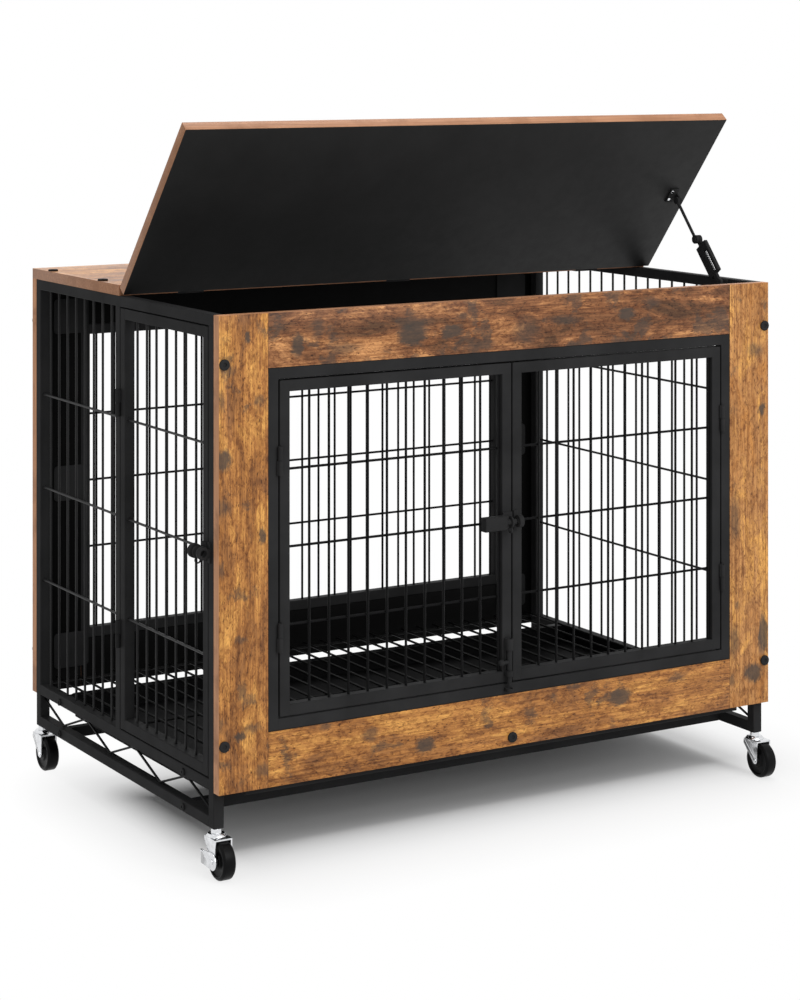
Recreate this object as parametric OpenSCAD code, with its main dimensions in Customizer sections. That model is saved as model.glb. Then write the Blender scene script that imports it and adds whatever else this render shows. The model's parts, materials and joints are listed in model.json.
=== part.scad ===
// Furniture dog kennel: wood-faced steel crate on casters, with a lift-up lid,
// two front leaves, one side door, a wire floor and a tray under it.
// Width is X, the front faces -Y, the floor that the casters stand on is Z = 0.

/* [Overall] */
// Width across the two side frames
crate_w = 900; // [820:5:1000]
// Depth between the front and the back panel
frame_d = 585; // [560:5:650]
// Height of the front and back panels
panel_h = 615; // [580:5:700]
// How far the legs reach below the panels
leg_drop = 47.5; // [42:0.5:60]
// Height of a caster, floor to leg
caster_h = 62.5; // [60:0.5:70]

/* [Boards] */
// Thickness of every board
board_t = 15; // [12:0.5:18]
// Width of the stile at each end of a panel
stile_w = 71.3; // [60:0.1:84]
// Height of the boards above and below a panel's opening
board_h = 71.6; // [60:0.1:84]
// Gap at the joints between boards
board_seam = 0.3; // [0.2:0.1:0.6]
// Depth of the lid, hinge edge to front edge
lid_d = 305; // [290:1:310]
// Gap between the lid and the fixed strip behind it
lid_seam = 3.1; // [2.9:0.1:3.5]
// How far the lid stands open
lid_open = 50; // [40:1:55]
// Gap under the closed lid
lid_lift = 0.5; // [0.5:0.1:1]

/* [Tubes] */
// Outside width of the square tube
tube_w = 15; // [14:0.5:16]
// Wall of the square tube
tube_wall = 1.2; // [1:0.1:1.5]
// Gap between tubes that are welded end to side
weld_gap = 0.1; // [0.05:0.05:0.2]
// Distance of the floor bearers' and crossbars' centre from the front
bearer_front = 88.5; // [70:0.5:100]
// Distance of the same from the back
bearer_back = 88; // [70:0.5:100]
// How far the floor bearers hang below the side frames' bottom rails
bearer_sink = 2; // [0:0.5:2.5]
// How far the front rail hangs below the front panel
front_rail_drop = 10; // [8:0.5:12]
// Distance of the front rail's ends from the side frames' outer faces
front_rail_in = 46; // [40:1:60]

/* [Wires] */
// Thickness of the grille wires
wire_d = 3.5; // [3:0.1:4]
// How far crossing wires are pressed into each other by the weld
weld_lap = 0.3; // [0.2:0.1:0.5]
// Spacing of the upright wires in the front leaves
leaf_pitch = 29.6; // [25:0.1:35]
// First upright wire from a front leaf's left stile
leaf_first = 31.7; // [20:0.1:40]
// Spacing of the level wires in the front leaves
leaf_bar_pitch = 101.7; // [80:0.1:110]
// Spacing of the upright wires in the back grille
back_pitch = 29.5; // [25:0.1:35]
// First upright wire from the back grille's left edge
back_first = 12.7; // [8:0.1:20]
// Spacing of the level wires in the back grille
back_bar_pitch = 100; // [80:0.1:110]
// Spacing of the upright wires in the side grilles
side_pitch = 31; // [25:0.1:35]
// First upright wire from the right grille's front edge
right_first = 8.5; // [6:0.5:20]
// First upright wire of the left grille from the middle post
left_first = 31.5; // [20:0.5:36]
// Spacing of the upright wires in the side door
side_door_pitch = 30.2; // [25:0.1:35]
// First upright wire from the side door's front stile
side_door_first = 37.5; // [20:0.5:40]
// Spacing of the level wires in the sides
side_bar_pitch = 137.5; // [120:0.5:145]
// Thickness of the zigzag wire under each side
truss_d = 3; // [2.5:0.5:5]
// Distance along a side from one bend of the zigzag to the next
truss_step = 81.5; // [60:0.5:100]
// Distance of the zigzag's first bend from the frame's back
truss_first = 3; // [0:0.5:10]

/* [Doors] */
// Gap round the front leaves and beside their hinges
leaf_edge_gap = 2.2; // [1.6:0.1:3]
// Gap round the side door and beside its hinges
door_gap = 1.5; // [1.2:0.1:2]
// Gap between the two front leaves
leaf_gap = 2; // [1.6:0.1:3]
// Depth of the side door, hinge stile to latch stile
side_door_d = 270.5; // [250:0.5:275]
// Length of a barrel hinge
hinge_len = 38; // [30:1:50]
// Outside radius of a barrel hinge
hinge_r = 3.4; // [3.3:0.1:4.5]
// Radius of the hinge pin
hinge_pin_r = 2; // [1.8:0.1:2.4]
// Play of a pin in its bore
pin_play = 0.05; // [0.03:0.01:0.09]
// Height of a front hinge above and below the leaf's middle
leaf_hinge_off = 115; // [90:1:150]
// Height of a side hinge above and below the door's middle
side_hinge_off = 160; // [100:1:200]

/* [Latches] */
// Radius of a slide latch's barrel
latch_r = 9.5; // [8:0.5:10]
// Height of the front latch above the leaves' middle
front_latch_up = 2.5; // [0:0.5:10]
// Length of the front latch's housing
front_latch_len = 34.5; // [30:0.5:50]
// Length of the side latch's barrel
side_latch_len = 8; // [7:1:16]
// Radius of a slide latch's bolt
latch_bolt_r = 4; // [3.5:0.1:4.2]
// Travel of a slide latch's bolt
latch_travel = 9; // [8.5:0.5:10]
// Height of a slide latch's plate
latch_plate_h = 24; // [20:1:30]
// Radius of the drop latch's rod
drop_r = 3.5; // [3:0.1:3.8]
// Travel of the drop latch's rod
drop_travel = 9; // [8:0.5:10]

/* [Floor] */
// Spacing of the wires across the floor
floor_pitch = 30; // [25:0.5:35]
// Number of wires along the floor
floor_bars = 3; // [3:1:7]
// Depth of the tray below its rim
tray_depth = 28; // [20:0.5:30]
// Wall of the tray
tray_wall = 2; // [1.5:0.1:3]
// Radius of the tray's corners
tray_corner = 12; // [8:1:20]
// How far the tray's rim lies over the floor bearers
tray_rim = 12; // [8:0.5:14]
// Gap between the floor's loose parts and what carries them
floor_play = 0.2; // [0.1:0.1:0.4]

/* [Casters] */
// Radius of a wheel
wheel_r = 25; // [24:0.5:26]
// Width of a wheel
wheel_w = 18; // [15:0.5:20]
// Distance of a wheel's axle behind its swivel
caster_trail = 16; // [14:0.5:20]
// Radius of the axle
axle_r = 3; // [2.5:0.1:3.5]
// Sheet thickness of the forks and brake levers
fork_t = 2; // [1.6:0.1:2.5]

/* [Lid stay] */
// Length of the stay's lower link
stay_lower_len = 80; // [74:0.1:84]
// Distance of the stay's foot pivot below the frame's top
stay_foot_down = 7; // [6:0.5:12]
// Distance of the stay's foot pivot from the frame's front
stay_foot_y = 73; // [60:0.5:90]
// Distance of the stay's head pivot from the lid's hinge edge
stay_head_in = 152.5; // [145:0.5:160]
// How far the stay's head pivot hangs below the lid
stay_head_drop = 12.7; // [11:0.1:14]

/* [Fasteners] */
// Radius of a panel bolt
bolt_r = 3; // [2.5:0.1:3.2]
// Radius of a panel bolt's head
bolt_head_r = 7.2; // [5:0.1:7.4]
// Height of a bolt head
bolt_head_h = 2.5; // [2:0.1:3]
// Radius of a frame bolt
frame_bolt_r = 2.5; // [2:0.1:3]
// Radius of a frame bolt's head
frame_head_r = 4.8; // [4.5:0.1:5.5]
// Height of a panel's lower bolts above its bottom edge
bolt_low = 62; // [50:1:66]
// Distance of a panel's upper bolts below its top edge
bolt_high = 63; // [50:1:66]
// Height of the bottom board's middle bolt
bolt_mid = 12; // [10:1:20]
// Distance of the strip's rear bolts from the frame's back
strip_bolt_back = 45; // [35:1:60]
// Distance of the strip's front bolts behind the lid seam
strip_bolt_front = 72; // [60:1:90]
// Width of a joining plate
plate_w = 56; // [50:1:62]
// Height of a joining plate
plate_h = 52; // [44:1:60]
// Thickness of a joining plate
plate_t = 1.5; // [1:0.1:2]
// How far a joining plate laps onto the metal surround
plate_lap = 12; // [8:1:14]
// Radius of a joining plate's corners
plate_corner = 6; // [3:1:12]

/* [Hidden] */
$fn = 48;

// Overlap that joins the volumes of one solid
join = 0.05;
// Gap that keeps flat faces of different pieces apart
touch = 0.1;
// Length by which a cutter passes the face that it cuts
past = 2;

// The frame stands in its own coordinates: X from the left side, Y from the back face of
// the front panel, Z from the panels' lower edge. These place it over the casters' floor
panel_z = caster_h + leg_drop;
front_reach = wheel_r + caster_trail - tube_w / 2;
back_reach = frame_d + board_t + bolt_head_h;
front_y = -(back_reach - front_reach) / 2;

tube_in = tube_w - 2 * tube_wall;
post_top = panel_h - tube_w;
leg_xs = [tube_w / 2, crate_w - tube_w / 2];
leg_ys = [tube_w / 2, frame_d - tube_w / 2];
bearer_ys = [bearer_front, frame_d - bearer_back];
lower_rail_z = -leg_drop;
crossbar_z = lower_rail_z + tube_w / 2;
bearer_z = tube_w / 2 - bearer_sink;

// The opening in a panel, the window inside its surround and the front leaves
open_x = [stile_w, crate_w - stile_w];
open_z = [board_h, panel_h - board_h];
window_x = open_x + [tube_w, -tube_w];
window_z = open_z + [tube_w, -tube_w];
leaf_z = window_z + [leaf_edge_gap, -leaf_edge_gap];
left_leaf_x = [window_x[0] + leaf_edge_gap, crate_w / 2 - leaf_gap / 2];
right_leaf_x = [crate_w / 2 + leaf_gap / 2, window_x[1] - leaf_edge_gap];
mid_z = panel_h / 2;

// The side door and the post that it hangs on
door_y = [tube_w + door_gap, tube_w + door_gap + side_door_d];
door_z = [tube_w + door_gap, post_top - door_gap];
mid_post_y = door_y[1] + door_gap;

// Barrel hinges: their axes lie in front of the tubes, over the gap
hinge_out = hinge_r + 0.2;
leaf_hinge_x = [window_x[0] + leaf_edge_gap / 2, window_x[1] - leaf_edge_gap / 2];
leaf_hinge_zs = [mid_z - leaf_hinge_off, mid_z + leaf_hinge_off];
side_hinge_y = door_y[1] + door_gap / 2;
side_hinge_zs = [mid_z - side_hinge_off, mid_z + side_hinge_off];

// Lid, strip and their hinges, with the lid closed
lid_front = -board_t - 2.5;
lid_back = lid_front + lid_d;
strip_front = lid_back + lid_seam;
lid_z = panel_h + lid_lift;
lid_hinge_r = 2.5;
lid_pin_r = 1.2;
lid_hinge_t = 1.2;
lid_hinge_w = 40;
lid_hinge_end = 10;
lid_hinge_in = 3;
lid_hinge_down = 3.5;
lid_hinge_run = 26;
lid_notch_clear = 0.5;
lid_pivot = [lid_back - lid_hinge_in, lid_z + board_t - lid_hinge_down];
lid_hinge_inset = 110;
lid_hinge_xs = [lid_hinge_inset, crate_w / 2, crate_w - lid_hinge_inset];

// Lid stay: a point (y, z) turned about the lid's pivot, and the links' lie at rest
function turned(p, a) = [p[0] * cos(a) - p[1] * sin(a), p[0] * sin(a) + p[1] * cos(a)];
stay_foot_at = [stay_foot_y, panel_h - stay_foot_down];
stay_head_closed = [lid_back - stay_head_in, lid_z - stay_head_drop];
stay_head_at = lid_pivot + turned(stay_head_closed - lid_pivot, -lid_open);
stay_reach = norm(stay_head_at - stay_foot_at);
stay_angle = atan2(stay_head_at[1] - stay_foot_at[1], stay_head_at[0] - stay_foot_at[0]);
stay_upper_len = stay_reach - stay_lower_len;
stay_pin_r = 2.5;
stay_eye_r = 6.5;
stay_lower_x = crate_w - tube_w - 8;
stay_lower_t = 5;
stay_upper_t = 5;
stay_gap = 0.5;
stay_upper_x = stay_lower_x - stay_gap - stay_upper_t;
stay_plate_t = 2;
stay_foot_plate = [26, tube_w - 2];
stay_head_plate = [13, 26];
stay_ear_w = 10;
stay_body = [16, 70];
stay_body_w = 25;
stay_window = [20, 58];
stay_window_w = 7;
stay_rod_r = 2.3;
stay_rivet_r = 3.6;
stay_rivet_h = 1.2;
spring_turns = 9;
spring_wire_r = 0.5;
spring_r = 2.5;

// Slide latches: along +X from the door's free edge, at its outer face
latch_out = latch_r + 1;
latch_plate = [tube_w, 2, latch_plate_h];
latch_barrel_end = -14;
latch_web = 4.5;
latch_box = [14, 19];
latch_box_end = -18;
latch_chamfer = 1.5;
latch_cap = 3;
latch_bore_play = 0.1;
latch_ring = [-9.5, -7];
latch_ring_r = latch_out - latch_plate[1] - 0.5;
latch_loop_r = 4.5;
latch_loop_wire = 1.6;
keeper_start = latch_travel + latch_ring[1] + 0.5;
keeper_t = 7;
keeper_r = 8.5;
keeper_play = 0.6;
keeper_plate_h = 27;

// Drop latch: up the left leaf's inner stile
drop_x = left_leaf_x[1] - tube_w / 2;
drop_out = 6.5;
drop_guide_r = 5;
drop_plate_t = 2;
drop_z = [window_z[0] + 1.5, window_z[0] + 60];
drop_low_guide = [window_z[0] + 11, window_z[0] + 19];
drop_top_guide = [window_z[0] + 47, window_z[0] + 63];
drop_knob_r = 4.5;
drop_knob_len = 13;
drop_stem_r = 2.5;
drop_knob_z = drop_low_guide[1] + drop_travel + drop_stem_r + 0.5;
drop_keeper_z = [window_z[0] - 10, window_z[0] - 5];

// Floor
tray_z = tube_w - bearer_sink + touch;
grid_z = tray_z + tray_wall + floor_play;
tray_side = 1;
tray_x = [tube_w + tray_side, crate_w - tube_w - tray_side];
tray_y = [bearer_ys[0] + tube_w / 2 + tray_side, bearer_ys[1] - tube_w / 2 - tray_side];
grid_end = 5;
grid_side = 2;
grid_x = [tube_w + grid_side, crate_w - tube_w - grid_side];
grid_y = [grid_end, frame_d - grid_end];
grid_bar_in = 15;

// Casters, with the origin on the floor under the swivel
stem_r = 4;
stem_in = 22;
insert_len = 26;
nut_af = 13;
race_r = 14;
race_h = 3.5;
head_h = 2;
fork_top_z = wheel_r * 2 + 1;
fork_disc_r = 14;
fork_axle_r = 5;
cheek_gap = wheel_w + 3;
rivet_r = 6;
wheel_hub_r = 9;
wheel_play = 0.05;
brake_reach = 31;
brake_tab = 4;
brake_eye_r = 11;
brake_end_h = 18;
brake_gap = 0.3;
plain_axle = 1.5;
braked_axle = brake_gap + fork_t + 1;

nut_len = 10;
frame_bolt_len = tube_w + 8;
lug = [24, 3, 20];

black = "#1b1b1c";
zinc = "#b9bcbf";
wood = "#9c6a3c";
wood_dark = "#8c5c34";

module at_frame() {
    translate([-crate_w / 2, front_y, panel_z]) children();
}

// Square tube that fills the box between two corners, open at its two ends
module tube(low, high) {
    span = high - low;
    run = max(span);
    difference() {
        translate(low) cube(span);
        translate(low + [for (s = span) s == run ? -past : tube_wall])
            cube([for (s = span) s == run ? s + 2 * past : s - 2 * tube_wall]);
    }
}

// Four tubes round a window in the X-Z plane: two full-height and two between them
module tube_window(xs, zs, y) {
    for (x = [xs[0], xs[1] - tube_w])
        tube([x, y, zs[0]], [x + tube_w, y + tube_w, zs[1]]);
    for (z = [zs[0], zs[1] - tube_w])
        tube([xs[0] + tube_w + weld_gap, y, z],
            [xs[1] - tube_w - weld_gap, y + tube_w, z + tube_w]);
}

// Straight wire with flats, from a point along an axis given as a turn of +Z
module wire(at, turn, len, d = wire_d) {
    translate(at) rotate(turn) rotate(22.5) cylinder(h = len, r = d / 2 / cos(22.5), $fn = 8);
}

// Places of a row of wires between two edges
function wire_row(from, to, first, pitch) =
    [for (p = from + first; p < to - wire_d / 2; p = p + pitch) p];

// Places of three level wires about the middle
function bar_row(pitch) = [mid_z - pitch, mid_z, mid_z + pitch];

// Welded grille in the X-Z plane: uprights in front, level wires behind
module grille(xs, zs, x_span, z_span) {
    lap = (wire_d - weld_lap) / 2;
    for (x = xs)
        wire([x, -lap, z_span[0]], [0, 0, 0], z_span[1] - z_span[0]);
    for (z = zs)
        wire([x_span[0], lap, z], [0, 90, 0], x_span[1] - x_span[0]);
}

// A shape drawn in the X-Z plane turned onto a side, so that its X runs along Y
module on_side(x) {
    translate([x, 0, 0]) rotate([0, 0, 90]) children();
}

// A bore along X through the walls at x
module bore_x(x, y, z, r, len) {
    translate([x, y, z]) rotate([0, 90, 0]) cylinder(h = len, r = r);
}

// A bore along Y
module bore_y(x, y, z, r, len) {
    translate([x, y, z]) rotate([-90, 0, 0]) cylinder(h = len, r = r);
}

// One side's tubes, at the left
module side_tubes(mid_post) {
    difference() {
        union() {
            for (y = [0, frame_d - tube_w])
                tube([0, y, -leg_drop], [tube_w, y + tube_w, post_top - weld_gap]);
            tube([0, 0, post_top], [tube_w, frame_d, panel_h]);
            for (z = [0, lower_rail_z])
                tube([0, tube_w + weld_gap, z], [tube_w, frame_d - tube_w - weld_gap, z + tube_w]);
            if (mid_post)
                tube([0, mid_post_y, tube_w + weld_gap],
                    [tube_w, mid_post_y + tube_w, post_top - weld_gap]);
        }
        for (y = bearer_ys)
            for (z = [bearer_z, crossbar_z])
                bore_x(-past, y, z, frame_bolt_r + touch, tube_w + 2 * past);
        for (z = [bolt_low, panel_h - bolt_high]) {
            bore_y(tube_w / 2, -past, z, bolt_r + pin_play, past + tube_wall + 1);
            bore_y(tube_w / 2, frame_d - tube_wall - 1, z, bolt_r + pin_play, past + tube_wall + 1);
        }
        for (y = strip_bolt_ys())
            translate([tube_w / 2, y, panel_h - tube_wall - 1])
                cylinder(h = past + tube_wall + 1, r = bolt_r + pin_play);
    }
}

function strip_bolt_ys() = [strip_front + strip_bolt_front, frame_d - strip_bolt_back];

module left_side_frame() {
    color(black) at_frame() side_tubes(true);
}

module right_side_frame() {
    color(black) at_frame() translate([crate_w, 0, 0]) mirror([1, 0, 0]) side_tubes(false);
}

module left_rear_grille() {
    y_span = [mid_post_y + tube_w, frame_d - tube_w];
    color(black) at_frame() on_side(tube_w / 2)
        grille(wire_row(y_span[0], y_span[1], left_first, side_pitch), bar_row(side_bar_pitch),
            y_span, [tube_w, post_top]);
}

module right_grille() {
    y_span = [tube_w, frame_d - tube_w];
    color(black) at_frame() on_side(crate_w - tube_w / 2)
        grille(wire_row(y_span[0], y_span[1], right_first, side_pitch), bar_row(side_bar_pitch),
            y_span, [tube_w, post_top]);
}

// Flat zigzag between the lower rail and the bottom rail of one side
module zigzag() {
    bay = [tube_w + weld_gap, frame_d - tube_w - weld_gap];
    bay_z = [lower_rail_z + tube_w + touch, -touch];
    start = frame_d - truss_first;
    bends = ceil((start - bay[0]) / truss_step);
    slope = atan2(bay_z[1] - bay_z[0] - truss_d, truss_step);
    half = truss_d / 2 / cos(slope);
    top = bay_z[1] - half;
    bottom = bay_z[0] + half;
    points = [for (i = [0 : bends]) [start - i * truss_step, i % 2 == 0 ? top : bottom]];
    rotate([90, 0, 90]) translate([0, 0, (tube_w - truss_d) / 2]) linear_extrude(truss_d)
        intersection() {
            polygon(concat([for (p = points) p + [0, half]],
                [for (i = [bends : -1 : 0]) points[i] - [0, half]]));
            translate([bay[0], bay_z[0]]) square([bay[1] - bay[0], bay_z[1] - bay_z[0]]);
        }
}

module truss_wires() {
    color(black) at_frame() {
        zigzag();
        translate([crate_w - tube_w, 0, 0]) zigzag();
    }
}

// Tubes across the kennel: floor bearers, lower crossbars and the rail behind the front
module cross_rails() {
    ends = [tube_w + weld_gap, crate_w - tube_w - weld_gap];
    color(black) at_frame() {
        for (y = bearer_ys)
            for (z = [bearer_z, crossbar_z])
                tube([ends[0], y - tube_w / 2, z - tube_w / 2],
                    [ends[1], y + tube_w / 2, z + tube_w / 2]);
        difference() {
            union() {
                tube([front_rail_in, 0, -front_rail_drop],
                    [crate_w - front_rail_in, tube_w, tube_w - front_rail_drop]);
                translate([(crate_w - lug[0]) / 2, touch, tube_w - front_rail_drop - join])
                    cube(lug);
            }
            bore_y(crate_w / 2, -past, bolt_mid, bolt_r + pin_play, 2 * past + lug[1]);
        }
    }
}

// A board with bolt holes through it along Y
module panel_board(low, size, holes) {
    difference() {
        translate(low) cube(size);
        for (h = holes)
            bore_y(h[0], low[1] - past, h[1], bolt_r + touch, board_t + 2 * past);
    }
}

module stile(x, y) {
    hole_x = x == 0 ? tube_w / 2 : crate_w - tube_w / 2;
    panel_board([x, y, 0], [stile_w, board_t, panel_h],
        [[hole_x, bolt_low], [hole_x, panel_h - bolt_high]]);
}

module rail_board(y, z, holes) {
    panel_board([stile_w + board_seam, y, z],
        [crate_w - 2 * stile_w - 2 * board_seam, board_t, board_h], holes);
}

module front_left_stile() {
    color(wood) at_frame() stile(0, -board_t);
}

module front_right_stile() {
    color(wood) at_frame() stile(crate_w - stile_w, -board_t);
}

module front_top_board() {
    color(wood_dark) at_frame() rail_board(-board_t, panel_h - board_h, []);
}

module front_bottom_board() {
    color(wood_dark) at_frame() rail_board(-board_t, 0, [[crate_w / 2, bolt_mid]]);
}

module back_left_stile() {
    color(wood) at_frame() stile(0, frame_d);
}

module back_right_stile() {
    color(wood) at_frame() stile(crate_w - stile_w, frame_d);
}

module back_top_board() {
    color(wood_dark) at_frame() rail_board(frame_d, panel_h - board_h, []);
}

module back_bottom_board() {
    color(wood_dark) at_frame() rail_board(frame_d, 0, []);
}

module surround(y) {
    fit = [board_seam, -board_seam];
    tube_window(open_x + fit, open_z + fit, y);
}

module front_surround() {
    color(black) at_frame() surround(-tube_w);
}

module back_surround() {
    color(black) at_frame() surround(frame_d);
}

module back_grille() {
    fit = [board_seam, -board_seam];
    x_span = window_x + fit;
    z_span = window_z + fit;
    color(black) at_frame() translate([0, frame_d + tube_w / 2, 0])
        grille(wire_row(x_span[0], x_span[1], back_first, back_pitch), bar_row(back_bar_pitch),
            x_span, z_span);
}

module top_strip() {
    color(wood) at_frame() difference() {
        translate([0, strip_front, panel_h]) cube([crate_w, frame_d + board_t - strip_front, board_t]);
        for (x = leg_xs)
            for (y = strip_bolt_ys())
                translate([x, y, panel_h - past]) cylinder(h = board_t + 2 * past, r = bolt_r + touch);
    }
}

// Places its children, drawn with the lid closed, on the open lid
module on_lid() {
    translate([0, lid_pivot[0], lid_pivot[1]]) rotate([-lid_open, 0, 0])
        translate([0, -lid_pivot[0], -lid_pivot[1]]) children();
}

// The lid has a notch round each hinge and a pocket in its top for the hinge's leaf
module lid() {
    w = lid_hinge_w + 2 * lid_notch_clear;
    reach = lid_hinge_r + lid_notch_clear;
    color(wood) at_frame() on_lid() difference() {
        translate([0, lid_front, lid_z]) cube([crate_w, lid_d, board_t]);
        for (x = lid_hinge_xs) translate([x - w / 2, lid_pivot[0] - reach, lid_pivot[1]]) {
            translate([0, 0, -reach]) cube([w, reach + lid_hinge_in + past, reach + board_t]);
            translate([0, -lid_hinge_run, lid_hinge_r - lid_hinge_t - touch])
                cube([w, lid_hinge_run + past, board_t]);
        }
    }
}

// A hinge leaf's knuckle along X about the lid's pivot
module knuckle(x, len, r) {
    translate([x, lid_pivot[0], lid_pivot[1]]) rotate([0, 90, 0]) cylinder(h = len, r = r);
}

module strip_hinge_leaves() {
    riser_y = strip_front - touch - lid_hinge_t;
    plate_z = panel_h - touch - lid_hinge_t;
    color(zinc) at_frame() for (x = lid_hinge_xs) {
        left = x - lid_hinge_w / 2;
        translate([left, riser_y, plate_z])
            cube([lid_hinge_w, lid_hinge_run, lid_hinge_t]);
        translate([left, riser_y, plate_z])
            cube([lid_hinge_w, lid_hinge_t, lid_pivot[1] - plate_z]);
        for (end = [left, left + lid_hinge_w - lid_hinge_end]) {
            knuckle(end, lid_hinge_end, lid_hinge_r);
            translate([end, lid_pivot[0], lid_pivot[1] - lid_hinge_t])
                cube([lid_hinge_end, riser_y + lid_hinge_t - lid_pivot[0], lid_hinge_t]);
        }
        knuckle(left, lid_hinge_w, lid_pin_r);
    }
}

module lid_hinge_leaves() {
    plate_y = lid_pivot[0] - lid_hinge_r - lid_notch_clear;
    plate_z = lid_pivot[1] + lid_hinge_r - lid_hinge_t;
    side = lid_hinge_end + 0.2;
    color(zinc) at_frame() on_lid() for (x = lid_hinge_xs)
        difference() {
            left = x - lid_hinge_w / 2;
            union() {
                translate([left, plate_y + lid_notch_clear - lid_hinge_run, plate_z])
                    cube([lid_hinge_w, lid_hinge_run - lid_notch_clear, lid_hinge_t]);
                translate([left + side, plate_y - join, plate_z])
                    cube([lid_hinge_w - 2 * side, lid_pivot[0] - plate_y + join, lid_hinge_t]);
                knuckle(left + side, lid_hinge_w - 2 * side, lid_hinge_r);
            }
            knuckle(left - past, lid_hinge_w + 2 * past, lid_pin_r + pin_play);
        }
}

// Eye round a stay pivot, thick along X from x
module stay_eye(x, s, r, t) {
    translate([x, s, 0]) rotate([0, 90, 0]) cylinder(h = t, r = r);
}

// Children drawn with the stay laid along +Y from its foot pivot
module on_stay() {
    translate([0, stay_foot_at[0], stay_foot_at[1]]) rotate([stay_angle, 0, 0]) children();
}

module stay_foot() {
    rail_x = crate_w - tube_w;
    pin_end = stay_lower_x - 0.3;
    color(black) at_frame() translate([0, stay_foot_at[0], stay_foot_at[1]]) {
        translate([rail_x - touch - stay_plate_t, -stay_foot_plate[0] / 2,
            stay_foot_down - 1 - stay_foot_plate[1]])
            cube([stay_plate_t, stay_foot_plate[0], stay_foot_plate[1]]);
        stay_eye(pin_end, 0, stay_pin_r, rail_x - touch - pin_end);
    }
}

module stay_housing() {
    color(black) at_frame() on_stay() difference() {
        union() {
            stay_eye(stay_lower_x, 0, stay_eye_r, stay_lower_t);
            stay_eye(stay_lower_x, stay_lower_len, stay_eye_r, stay_lower_t);
            translate([stay_lower_x, 0, -4]) cube([stay_lower_t, stay_lower_len, 8]);
            translate([stay_lower_x, stay_body[0], -stay_body_w / 2])
                cube([stay_lower_t + 1, stay_body[1] - stay_body[0], stay_body_w]);
        }
        stay_eye(stay_lower_x - past, 0, stay_pin_r + pin_play, stay_lower_t + 2 * past);
        stay_eye(stay_lower_x - past, stay_lower_len, stay_pin_r + pin_play, stay_lower_t + 2 * past);
        translate([stay_lower_x - past, stay_window[0], 0])
            cube([stay_lower_t + 1 + 2 * past, stay_window[1] - stay_window[0], stay_window_w]);
    }
}

// Centre line of a coil along +Y: a straight end, the turns and a straight end
coil_rings = 8;
function coil_line(len, turns, r, wire_r) =
    let (straight = 2 * wire_r, climb = (len - 2 * straight) / (turns * coil_rings))
        concat([[r, 0, 0]],
            [for (i = [0 : turns * coil_rings])
                [r * cos(i * 360 / coil_rings), straight + i * climb, r * sin(i * 360 / coil_rings)]],
            [[r, len, 0]]);

// Least distance between points of a line that lie more than half a turn apart
function own_gap(line) = min([for (i = [0 : len(line) - 1])
    for (j = [i + 1 : 1 : len(line) - 1]) if (j - i > coil_rings / 2) norm(line[i] - line[j])]);

// Round wire along a coil's centre line, one closed tube
module coil(len, turns, r, wire_r) {
    sides = 6;
    line = coil_line(len, turns, r, wire_r);
    last = len(line) - 1;
    lean = atan2((len - 4 * wire_r) / turns, 2 * PI * r);
    // Each ring stands square to the wire, halfway where the straight end bends
    points = [for (i = [0 : last], j = [0 : sides - 1])
        let (a = (i - 1) * 360 / coil_rings, b = j * 360 / sides, up = wire_r * sin(b),
            turn = i == 0 || i == last ? 90 : i == 1 || i == last - 1 ? (90 + lean) / 2 : lean,
            out = i == 0 || i == last ? 0 : a)
            line[i] + wire_r * cos(b) * [cos(out), 0, sin(out)]
                + up * [sin(turn) * sin(out), cos(turn), -sin(turn) * cos(out)]];
    skin = [for (i = [0 : last - 1], j = [0 : sides - 1])
        let (k = (j + 1) % sides)
            each [[i * sides + j, i * sides + k, (i + 1) * sides + j],
                [i * sides + k, (i + 1) * sides + k, (i + 1) * sides + j]]];
    caps = [for (j = [1 : sides - 2])
        each [[0, j + 1, j], last * sides * [1, 1, 1] + [0, j, j + 1]]];
    polyhedron(points, concat(skin, caps), convexity = 10);
}

spring_len = stay_window[1] - stay_window[0] - 0.6;
echo(spring_gap = own_gap(coil_line(spring_len, spring_turns, spring_r, spring_wire_r))
    - 2 * spring_wire_r);

module stay_spring() {
    color(zinc) at_frame() on_stay()
        translate([stay_lower_x + (stay_lower_t + 1) / 2, stay_window[0] + 0.3, stay_window_w / 2])
            coil(spring_len, spring_turns, spring_r, spring_wire_r);
}

// The arm's elbow end carries the rivet's head
module stay_arm() {
    start = stay_lower_len;
    mid = stay_upper_x + stay_upper_t / 2;
    color(black) at_frame() on_stay() difference() {
        union() {
            stay_eye(stay_upper_x, start, stay_eye_r, stay_upper_t);
            stay_eye(stay_upper_x - stay_rivet_h, start, stay_rivet_r, stay_rivet_h + join);
            stay_eye(stay_upper_x, stay_reach, stay_eye_r - 1, stay_upper_t);
            translate([mid, start + stay_pin_r + 2, 0]) rotate([-90, 0, 0])
                cylinder(h = stay_upper_len - 2 * stay_pin_r - 4, r = stay_rod_r);
        }
        stay_eye(stay_upper_x - past, stay_reach, stay_pin_r + pin_play, stay_upper_t + 2 * past);
    }
}

module stay_head() {
    ear_x = stay_upper_x + stay_upper_t + stay_gap;
    pin_end = stay_upper_x - 0.3;
    color(black) at_frame() on_lid()
        translate([0, stay_head_closed[0], stay_head_closed[1]]) {
            translate([ear_x - stay_head_plate[0], -stay_head_plate[1] / 2,
                stay_head_drop - touch - stay_plate_t])
                cube([stay_head_plate[0] + stay_plate_t, stay_head_plate[1], stay_plate_t]);
            translate([ear_x, -stay_ear_w / 2, -stay_ear_w / 2])
                cube([stay_plate_t, stay_ear_w, stay_head_drop + stay_ear_w / 2 - touch]);
            stay_eye(pin_end, 0, stay_pin_r, ear_x + stay_plate_t - pin_end);
        }
}

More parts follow.
